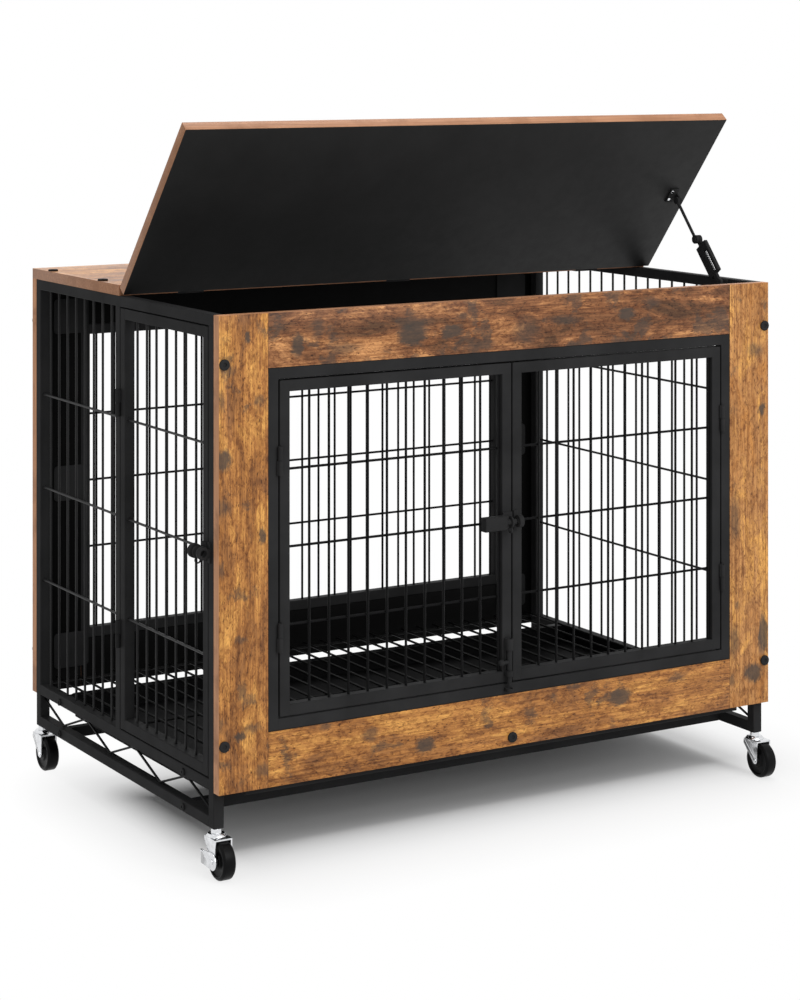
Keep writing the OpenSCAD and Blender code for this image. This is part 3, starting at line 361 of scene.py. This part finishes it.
def coated(name, colour, rough, grain, strength, shine=0.25):
    """A painted or moulded surface: one colour with a slight mottle and an orange-peel bump."""
    material, nodes, links, main = shader(name)
    main.inputs["Specular IOR Level"].default_value = shine
    vector = coords(nodes, links)
    mottle = noise(nodes, links, vector, detail=5, rough=0.6, scale=14)
    dark = tuple(c * 0.80 for c in colour)
    light = tuple(c * 1.18 for c in colour)
    links.new(ramp(nodes, links, mottle, [(0.3, dark), (0.7, light)]), main.inputs["Base Color"])
    streaks = noise(nodes, links, vector, detail=4, rough=0.6, scale=60)
    links.new(ramp(nodes, links, streaks, [(0.3, grey(rough - 0.04)), (0.7, grey(rough + 0.04))]),
              main.inputs["Roughness"])
    bump(nodes, links, main, noise(nodes, links, vector, detail=2, scale=grain), strength, 0.0002)
    return material


def plated(name, colour, rough):
    """Zinc-plated steel with faint rolling marks and dull spots."""
    material, nodes, links, main = shader(name)
    vector = coords(nodes, links)
    spots = noise(nodes, links, vector, detail=6, rough=0.65, scale=120)
    dull = tuple(c * 0.78 for c in colour)
    links.new(ramp(nodes, links, spots, [(0.3, dull), (0.65, colour)]), main.inputs["Base Color"])
    main.inputs["Metallic"].default_value = 1.0
    links.new(ramp(nodes, links, spots, [(0.3, grey(rough + 0.10)), (0.7, grey(rough - 0.05))]),
              main.inputs["Roughness"])
    marks = noise(nodes, links, coords(nodes, links, (1, 1, 0.15)), detail=2, scale=900)
    bump(nodes, links, main, marks, 0.06, 0.0001)
    return material


band_across = edge_band("brown_edge_band_across", X, (0.260, 0.120, 0.060), (0.430, 0.210, 0.110))
band_upright = edge_band("brown_edge_band_upright", Z, (0.370, 0.175, 0.086), (0.620, 0.305, 0.155))
melamine = coated("black_melamine_backing", grey(0.0095), 0.55, 700, 0.05, shine=0.16)
powder = coated("black_powder_coat", (0.0245, 0.0245, 0.0250), 0.45, 1100, 0.16, shine=0.012)
# A darker copy of the black backing for the back panel's inside and its boards' inner edges: painted
# shade, as that side lies in the kennel's shadow
backing_painted_shade = coated("black_backing_painted_shade", grey(0.0016), 0.6, 700, 0.05, shine=0.06)
# A darker copy of the wire coat for the wire floor: painted shade, as the floor lies in the kennel's
# shadow
floor_wire_painted_shade = coated("black_floor_wire_painted_shade", grey(0.0028), 0.5, 900, 0.10, shine=0.08)
wire_black = coated("black_wire_coat", (0.0050, 0.0050, 0.0053), 0.40, 900, 0.10, shine=0.06)
# A lighter copy of the black wire coat for the side grilles: a painted highlight where the side light
# catches their wires
wire_painted_highlight = coated("black_wire_coat_painted_highlight", (0.0165, 0.0165, 0.0170), 0.40, 900, 0.10, shine=0.14)
nylon = coated("black_nylon", (0.0080, 0.0080, 0.0086), 0.42, 500, 0.08)
tread = coated("black_wheel_tread", (0.0042, 0.0042, 0.0045), 0.36, 420, 0.10, shine=0.08)
tray_plastic = coated("black_tray_plastic", (0.0030, 0.0030, 0.0032), 0.46, 650, 0.22, shine=0.04)
zinc = plated("zinc_plate", (0.80, 0.81, 0.83), 0.15)

BODIES = frame["record"]["behaviour"]["bodies"]
BODY_OF = {node: body for body, nodes in BODIES.items() for node in nodes}


def stand_for(obj, node):
    """A piece that shows in place of a CAD node and moves with the node's body."""
    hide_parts(node)
    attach(obj, BODY_OF[node])
    return obj


def coat(obj, material):
    """Gives an object one material in place of the ones that it has."""
    obj.data.materials.clear()
    obj.data.materials.append(material)


def dress(node, material, bevel):
    """A copy of a CAD node with its triangles merged and its edges rounded."""
    only(frame["nodes"][node])
    bpy.ops.object.duplicate(linked=False)
    obj = bpy.context.view_layer.objects.active
    obj.name = node + "_dressed"
    enter(obj)
    bpy.ops.mesh.select_all(action="SELECT")
    bpy.ops.mesh.remove_doubles(threshold=0.000002)
    bpy.ops.mesh.dissolve_limited(angle_limit=math.radians(0.5))
    leave()
    coat(obj, material)
    modify(obj, "BEVEL", width=bevel * MM, segments=2, limit_method="ANGLE",
           angle_limit=math.radians(30))
    return stand_for(smooth(obj), node)


# Steel tube

TUBE_ROUND = 1.2
FLUSH = TUBE - TUBE_ROUND


def tube(low, high):
    """Square tube between two corners, with all its edges rounded."""
    obj = block("tube", spot(*low), spot(*high), powder)
    enter(obj)
    bpy.ops.mesh.select_mode(type="EDGE")
    bpy.ops.mesh.select_all(action="SELECT")
    bpy.ops.mesh.bevel(offset=TUBE_ROUND * MM, segments=3, affect="EDGES", clamp_overlap=True)
    leave()
    return smooth(obj)


def steel(node, tubes, extra=()):
    """One node's tubes as one piece. A tube welded end to side runs into the other one's rounding."""
    made = [tube(low, high) for low, high in tubes]
    return stand_for(merged(node + "_tubes", made + list(extra)), node)


def window(xs, zs, y, swap=False):
    """Four tubes round a window: two full height and two between. With swap, X and Y change places."""
    tubes = [((x, y, zs[0]), (x + TUBE, y + TUBE, zs[1])) for x in (xs[0], xs[1] - TUBE)]
    tubes += [((xs[0] + FLUSH, y, z), (xs[1] - FLUSH, y + TUBE, z + TUBE))
              for z in (zs[0], zs[1] - TUBE)]
    if swap:
        tubes = [((a[1], a[0], a[2]), (b[1], b[0], b[2])) for a, b in tubes]
    return tubes


def inside(low, high):
    """The clear span between two tubes, from their outer limits."""
    return low + TUBE, high - TUBE


# Outer limits of the steel surrounds, the front leaves and the side door
SURROUND_X = (71.6, 828.4)
SURROUND_Z = (71.9, 543.1)
LEFT_LEAF_X = (88.5, 449)
RIGHT_LEAF_X = (451, 811.5)
LEAF_Z = (88.8, 526.2)
DOOR_Y = (16.5, 287)
DOOR_Z = (16.5, 598.5)
MID_POST_Y = 288.5
POST_TOP = PANEL_H - TUBE


def side_tubes(x):
    """Tubes of one end frame, X from its outer face: posts, top, bottom and lower rails."""
    tubes = [((x, y, -LEG_DROP), (x + TUBE, y + TUBE, POST_TOP + TUBE_ROUND))
             for y in (0, FRAME_D - TUBE)]
    tubes.append(((x, 0, POST_TOP), (x + TUBE, FRAME_D, PANEL_H)))
    tubes += [((x, FLUSH, z), (x + TUBE, FRAME_D - FLUSH, z + TUBE)) for z in (0, -LEG_DROP)]
    return tubes


mid_post = ((0, MID_POST_Y, FLUSH), (TUBE, MID_POST_Y + TUBE, POST_TOP + TUBE_ROUND))
steel("left_side_frame", side_tubes(0) + [mid_post])
steel("right_side_frame", side_tubes(CRATE_W - TUBE))
for node, y in (("front_surround", -TUBE), ("back_surround", FRAME_D)):
    steel(node, window(SURROUND_X, SURROUND_Z, y))

# The rails across: how far in they start, where they lie, and the front one's lug
RAIL_IN = TUBE + 0.1
RAILS_Y = (81, 489.5)
BEARER_Z = -2
FRONT_RAIL_IN = 46
FRONT_RAIL_Z = -10
LUG = ((438, 0.1, 4), (462, 3.1, 25))
across = [((RAIL_IN, y, z), (CRATE_W - RAIL_IN, y + TUBE, z + TUBE))
          for y in RAILS_Y for z in (BEARER_Z, -LEG_DROP)]
across.append(((FRONT_RAIL_IN, 0, FRONT_RAIL_Z),
               (CRATE_W - FRONT_RAIL_IN, TUBE, FRONT_RAIL_Z + TUBE)))
lug = block("lug", spot(*LUG[0]), spot(*LUG[1]), powder, bevel=0.8 * MM)
steel("cross_rails", across, [lug])


# Round wire

WELD_R = 1.9


def repeated(obj, step, count):
    """An object in a row of copies, each a step in millimetres from the last."""
    return modify(obj, "ARRAY", use_relative_offset=False, use_constant_offset=True, count=count,
                  constant_offset_displace=Vector(step) * MM)


def wire_row(start, end, step, count, material):
    """A row of equal wires: one wire, repeated at a constant step."""
    return repeated(rod("wire", spot(*start), spot(*end), WIRE / 2 * MM, material), step, count)


def weld_spots(first, step_a, count_a, step_b, count_b, material):
    """Little round welds where two rows of wires cross."""
    bpy.ops.object.select_all(action="DESELECT")
    bpy.ops.mesh.primitive_ico_sphere_add(subdivisions=2, radius=WELD_R * MM, location=spot(*first))
    obj = settle(bpy.context.view_layer.objects.active)
    obj.data.materials.append(material)
    return smooth(repeated(repeated(obj, step_a, count_a), step_b, count_b), 60)


# Crossing wires sink 0.3 mm into each other: this far from the middle of the pair
LAP = (WIRE - 0.3) / 2


def grille(node, along, plane, uprights_at, span, levels_at, height):
    """A welded grille of uprights and three level wires. Uprights are given as first place, step and
    count along one axis, levels as lowest place and step; span and height are the wires' two ends."""
    first, step, count = uprights_at
    level, level_step = levels_at

    def at(run, across_it, z):
        return (run, across_it, z) if along == X else (across_it, run, z)

    side = -LAP if along == X else LAP
    stride, rise = at(step, 0, 0), (0, 0, level_step)
    # Side grilles (along Y) take the lighter copy of the wire coat, a painted highlight
    paint = wire_black if along == X else wire_painted_highlight
    uprights = wire_row(*(at(first, plane + side, z) for z in height), stride, count, paint)
    levels = wire_row(*(at(run, plane - side, level) for run in span), rise, 3, paint)
    spots = weld_spots(at(first, plane, level), stride, count, rise, 3, paint)
    return stand_for(merged(node + "_wires", [uprights, levels, spots]), node)


SIDE_Z = (0, PANEL_H)
SIDE_LEVELS = (170, 137.5)
LEAF_LEVELS = (205.8, 101.7)
BACK_LEVELS = (207.5, 100)
for node, along, plane, uprights_at, span, levels_at, height in (
        ("left_rear_grille", Y, MID_TUBE, (335, 31, 8), (MID_POST_Y, FRAME_D), SIDE_LEVELS, SIDE_Z),
        ("right_grille", Y, CRATE_W - MID_TUBE, (23.5, 31, 18), (0, FRAME_D), SIDE_LEVELS, SIDE_Z),
        ("side_door_grille", Y, MID_TUBE, (69, 30.2, 7), DOOR_Y, SIDE_LEVELS, DOOR_Z),
        ("left_leaf_grille", X, -MID_TUBE, (135.2, 29.6, 11), LEFT_LEAF_X, LEAF_LEVELS, LEAF_Z),
        ("right_leaf_grille", X, -MID_TUBE, (497.7, 29.6, 11), RIGHT_LEAF_X, LEAF_LEVELS, LEAF_Z),
        ("back_grille", X, FRAME_D + MID_TUBE, (99.3, 29.5, 25), SURROUND_X, BACK_LEVELS, SURROUND_Z)):
    grille(node, along, plane, uprights_at, inside(*span), levels_at, inside(*height))

# The wire floor: three long wires below, 29 cross wires on them, welded in between
LONG_X, LONG_Y, LONG_Z = (17, 883), 20, 17.05
CROSS_X, CROSS_Y, CROSS_Z = 30, (5, 580), 20.25
WELD_Z = 18.7
LONG_ROW = ((0, 272.5, 0), 3)
CROSS_ROW = ((30, 0, 0), 29)
# The floor wires take the darker copy of the wire coat: painted shade
stand_for(merged("floor_grid_wires", [
    wire_row(*((x, LONG_Y, LONG_Z) for x in LONG_X), *LONG_ROW, floor_wire_painted_shade),
    wire_row(*((CROSS_X, y, CROSS_Z) for y in CROSS_Y), *CROSS_ROW, floor_wire_painted_shade),
    weld_spots((CROSS_X, LONG_Y, WELD_Z), *CROSS_ROW, *LONG_ROW, floor_wire_painted_shade)]), "floor_grid")


# Boards

# Where ovals on a panel's face lie in its thickness, and how far they reach each way
OVAL_Y = -8
OVAL_DEPTH = 60


def flat(x, z, w, h):
    """An oval on a panel's face, through the panel's thickness."""
    return (x, OVAL_Y, z), (w, OVAL_DEPTH, h)


# The panels' opening with the boards' inner edges in it
INNER_LOW = spot(71, 0, 71)
INNER_HIGH = spot(829, 0, 544)


def board(node, outward, wood, band, backing=melamine):
    """A board with laminate on the face that looks outward, black backing behind and bands on its
    edges; an edge that looks into the panel's opening is black."""
    obj = dress(node, wood, bevel=0.5)
    obj.data.materials.append(backing)
    obj.data.materials.append(band)
    for face in obj.data.polygons:
        out = face.normal.dot(outward)
        inner = all(INNER_LOW[axis] < face.center[axis] < INNER_HIGH[axis] for axis in (X, Z))
        face.material_index = 0 if out > 0.9 else 1 if out < -0.9 or inner else 2
    return obj


MIXED = (BROWN, ORANGE, GOLDEN)
DARK = ((0.110, 0.052, 0.024), (0.300, 0.125, 0.050), (0.720, 0.350, 0.135))
GOLD = (ORANGE, (0.540, 0.260, 0.090), GOLDEN)
front_woods = {
    "left_stile": laminate("laminate_front_left_stile", Z, MIXED, [
        flat(7, 429, 13, 17), flat(62, 328, 6, 12), flat(42, 586, 5, 9), flat(30, 72, 10, 7)], [
        flat(5, 369, 16, 16), flat(3, 289, 5, 15), flat(36, 251, 12, 6), flat(32, 196, 11, 6),
        flat(58, 502, 10, 10), flat(4, 504, 8, 16), flat(12, 545, 16, 12), flat(48, 80, 17, 8),
        flat(3, 91, 6, 12), flat(62, 24, 14, 11)], 0.25),
    "right_stile": laminate("laminate_front_right_stile", Z, GOLD, [
        flat(888, 429, 7, 12), flat(890, 100, 10, 34), flat(872, 46, 20, 17)], [
        flat(838, 272, 12, 46), flat(842, 148, 6, 8), flat(875, 517, 20, 13), flat(836, 98, 14, 30),
        flat(832, 40, 8, 12)], 0.3),
    "top_board": laminate("laminate_front_top_board", X, DARK, [
        flat(645, 582, 17, 11), flat(290, 574, 28, 18), flat(352, 575, 21, 12),
        flat(115, 571, 11, 20)], [
        flat(145, 591, 12, 16), flat(183, 562, 36, 11), flat(294, 590, 34, 14), flat(398, 554, 30, 9),
        flat(473, 568, 30, 26), flat(687, 596, 18, 11), flat(794, 563, 24, 8),
        flat(538, 580, 34, 9)], 0.80),
    "bottom_board": laminate("laminate_front_bottom_board", X, MIXED, [
        flat(310, 21, 18, 14), flat(632, 43, 24, 14)], [
        flat(224, 47, 18, 11), flat(156, 68, 14, 6), flat(555, 68, 17, 7), flat(733, 58, 20, 9)], 0.4)}
back_woods = {name: laminate("laminate_back_" + name, Z if "stile" in name else X, MIXED, burnt=0.45)
              for name in front_woods}
# The back boards take the darker copy of the backing, behind and on their inner edges: painted shade
for panel, way, woods, backing in (
        ("front", -1, front_woods, melamine), ("back", 1, back_woods, backing_painted_shade)):
    for name, wood in woods.items():
        board(f"{panel}_{name}", Vector((0, way, 0)), wood,
              band_upright if "stile" in name else band_across, backing)
board("top_strip", Vector((0, 0, 1)), laminate("laminate_top_strip", X, MIXED, shine=0.9), band_across)
LID_OPEN = math.radians(50)
lid_up = Vector((0, math.sin(LID_OPEN), math.cos(LID_OPEN)))
board("lid", lid_up, laminate("laminate_lid", X, MIXED, burnt=0.55), band_across)


# Doors

# The hinge pins' places, and an upper barrel's radius and ends, seen from its hinge's middle
LEFT_PIN = (87.4, -18.6)
RIGHT_PIN = (812.6, -18.6)
SIDE_PIN = (-3.6, 287.75)
LEAF_HINGES_Z = (192.5, 422.5)
DOOR_HINGES_Z = (147.5, 467.5)
BARREL_R = 3.4
BARREL_LOW = 0.15
BARREL_HIGH = 19


def upper_barrels(pin, heights, foot):
    """The upper half of each of a door's hinges: a barrel and the foot that joins it to the stile,
    which is given by two corners seen from the pin."""
    made = []
    for z in heights:
        low, high = z + BARREL_LOW, z + BARREL_HIGH
        barrel = rod("barrel", spot(*pin, low), spot(*pin, high), BARREL_R * MM, powder, 20, 0.5 * MM)
        ends = [spot(pin[0] + x, pin[1] + y, end) for (x, y), end in zip(foot, (low, high))]
        made += [barrel, block("foot", *ends, powder, 0.4 * MM)]
    return made


steel("left_leaf_frame", window(LEFT_LEAF_X, LEAF_Z, -TUBE),
      upper_barrels(LEFT_PIN, LEAF_HINGES_Z, ((1.2, 0), (4.1, 3.6))))
steel("right_leaf_frame", window(RIGHT_LEAF_X, LEAF_Z, -TUBE),
      upper_barrels(RIGHT_PIN, LEAF_HINGES_Z, ((-4.1, 0), (-1.2, 3.6))))
steel("side_door_frame", window(DOOR_Y, DOOR_Z, 0, swap=True),
      upper_barrels(SIDE_PIN, DOOR_HINGES_Z, ((0, -3.75), (3.6, -0.85))))


# Hardware that keeps its solid's shape: node, material and bevel in millimetres

CORNERS = ("front_left", "front_right", "back_left", "back_right")
hardware = [
    ("panel_bolts", powder, 1.1), ("frame_bolts", powder, 0.9), ("joining_plates", powder, 0.4),
    ("strip_hinge_leaves", powder, 0.25), ("lid_hinge_leaves", powder, 0.25),
    ("stay_foot", powder, 0.5), ("stay_housing", powder, 0.6), ("stay_arm", powder, 0.5),
    ("door_hinge_pins", powder, 0.6),
    ("front_latch_body", powder, 0.5), ("front_latch_bolt", powder, 0.6),
    ("front_latch_keeper", powder, 0.5), ("drop_latch_guide", powder, 0.5),
    ("drop_latch_bolt", powder, 0.5), ("fixed_keepers", powder, 0.5),
    ("side_latch_body", powder, 0.5), ("side_latch_bolt", powder, 0.6),
    ("tray", tray_plastic, 0.8), ("leg_inserts", nylon, 0.5), ("caster_stems", zinc, 0.4)]
hardware += [(f"{corner}_{part}", material, 0.6)
             for part, material in (("fork", zinc), ("wheel", tread)) for corner in CORNERS]
hardware += [("front_left_brake", zinc, 0.5), ("back_right_brake", zinc, 0.5),
             ("truss_wires", wire_black, 0.9)]
for node, material, bevel in hardware:
    dress(node, material, bevel)

# The stay's head is held to the lid by two screws, each a low round head
HINGE_Y = 284.5
HINGE_Z = 627
STAY_X = 866.8
SCREWS_ALONG = (143.5, 158.5)
SCREW_DOWN = (13.4, 15)
SCREW_R = 2.6


def under_lid(x, along, down):
    """A place under the raised lid: along it from its hinge, and down from the hinge's axis."""
    return spot(x, HINGE_Y - along * math.cos(LID_OPEN) - down * math.sin(LID_OPEN),
                HINGE_Z + along * math.sin(LID_OPEN) - down * math.cos(LID_OPEN))


stay_head = dress("stay_head", powder, 0.5)
screws = [rod("screw", *(under_lid(STAY_X, along, down) for down in SCREW_DOWN),
              SCREW_R * MM, zinc, 24, 0.7 * MM) for along in SCREWS_ALONG]
merged("stay_head_dressed", screws + [stay_head])

for node in ("stay_spring", "tube_nuts"):
    coat(frame["nodes"][node], zinc)


# Stage, light and camera

# The floor's shade: a box under the kennel and how far it fades out around it, in metres, and the
# share of plain white glow at steps from the box to the fade's end. In the box the shadow is lit for
# real; the glow around it is painted light that fades the shadow out
SHADE_AT = (0.05, -0.06, 0)
SHADE_HALF = (0.42, 0.13, 0)
SHADE_FADE = (0.19, 0.27, 1)
PAINTED_WHITE_SHARE = ((0, 0.02), (0.10, 0.20), (0.23, 0.45), (0.35, 0.65), (0.5, 0.76), (0.65, 0.84),
               (0.85, 0.94), (1, 1))
WORLD_LIGHT = 0.55


def seen_rays(nodes, links, names):
    """1 for the kinds of ray that see the background as plain white, 0 for the ones that light."""
    path = nodes.new("ShaderNodeLightPath")
    seen = path.outputs[names[0]]
    for name in names[1:]:
        seen = arithmetic(nodes, links, "MAXIMUM", seen, path.outputs[name])
    return seen


def studio_floor():
    """White floor that keeps the object's shadow and shows white to the camera and in reflections. Near
    the kennel the shadow is lit for real; around it a painted white glow fades the shadow out.
    """
    material, nodes, links, main = shader("studio_floor_white")
    main.inputs["Base Color"].default_value = (0.80, 0.80, 0.80, 1)
    main.inputs["Roughness"].default_value = 0.9
    main.inputs["Specular IOR Level"].default_value = 0.1
    painted_glow = nodes.new("ShaderNodeEmission")
    painted_glow.inputs["Color"].default_value = (1, 1, 1, 1)
    away = beyond(nodes, links, coords(nodes, links), SHADE_AT, SHADE_HALF, SHADE_FADE)
    # Painted light: the share of plain white glow grows from the box outward
    white = ramp(nodes, links, away, [(place, grey(share)) for place, share in PAINTED_WHITE_SHARE])
    seen = seen_rays(nodes, links, ("Is Camera Ray", "Is Glossy Ray"))
    blend = nodes.new("ShaderNodeMixShader")
    links.new(arithmetic(nodes, links, "MULTIPLY", seen, white), blend.inputs[0])
    links.new(main.outputs[0], blend.inputs[1])
    links.new(painted_glow.outputs[0], blend.inputs[2])
    links.new(blend.outputs[0], nodes["Material Output"].inputs["Surface"])
    return material


bpy.ops.object.select_all(action="DESELECT")
bpy.ops.mesh.primitive_plane_add(size=24, location=(0, 0, 0))
studio = bpy.context.view_layer.objects.active
studio.name = "studio_floor"
studio.data.materials.append(studio_floor())

world = bpy.data.worlds.new("white_studio")
bpy.context.scene.world = world
world.use_nodes = True
tree = world.node_tree
ground = tree.nodes["Background"]
ground.inputs["Color"].default_value = (1, 1, 1, 1)
ground.inputs["Strength"].default_value = WORLD_LIGHT
shown = tree.nodes.new("ShaderNodeBackground")
shown.inputs["Color"].default_value = (1, 1, 1, 1)
shown.inputs["Strength"].default_value = 1.0
either = tree.nodes.new("ShaderNodeMixShader")
seen = seen_rays(tree.nodes, tree.links, ("Is Camera Ray", "Is Glossy Ray", "Is Transmission Ray"))
tree.links.new(seen, either.inputs[0])
tree.links.new(ground.outputs[0], either.inputs[1])
tree.links.new(shown.outputs[0], either.inputs[2])
tree.links.new(either.outputs[0], tree.nodes["World Output"].inputs["Surface"])


def soft_light(name, place, aim, size, power):
    """A square soft box at a place, aimed at a point."""
    bpy.ops.object.light_add(type="AREA", location=place)
    lamp = bpy.context.view_layer.objects.active
    lamp.name = name
    lamp.data.size = size
    lamp.data.energy = power
    lamp.rotation_euler = (Vector(aim) - Vector(place)).to_track_quat("-Z", "Y").to_euler()


soft_light("front_softbox", (0.5, -3.4, 2.6), (0, 0, 0.4), 2.6, 85)
soft_light("top_softbox", (0.2, 0.6, 3.6), (0, 0, 0.3), 2.2, 75)

# The photograph's camera: level, turned to the right, its picture shifted down
CAMERA_AT = (-1444.7, -2875, 957.1)
CAMERA_TURN = -0.5402
bpy.ops.object.camera_add(location=spot(*CAMERA_AT))
camera = bpy.context.view_layer.objects.active
camera.name = "photo_camera"
camera.rotation_euler = Euler((math.radians(90), 0, CAMERA_TURN))
camera.data.lens = 89.82
camera.data.sensor_width = 36
camera.data.shift_y = -0.451
camera.data.clip_end = 60
bpy.context.scene.camera = camera
bpy.context.scene.view_settings.view_transform = "Standard"
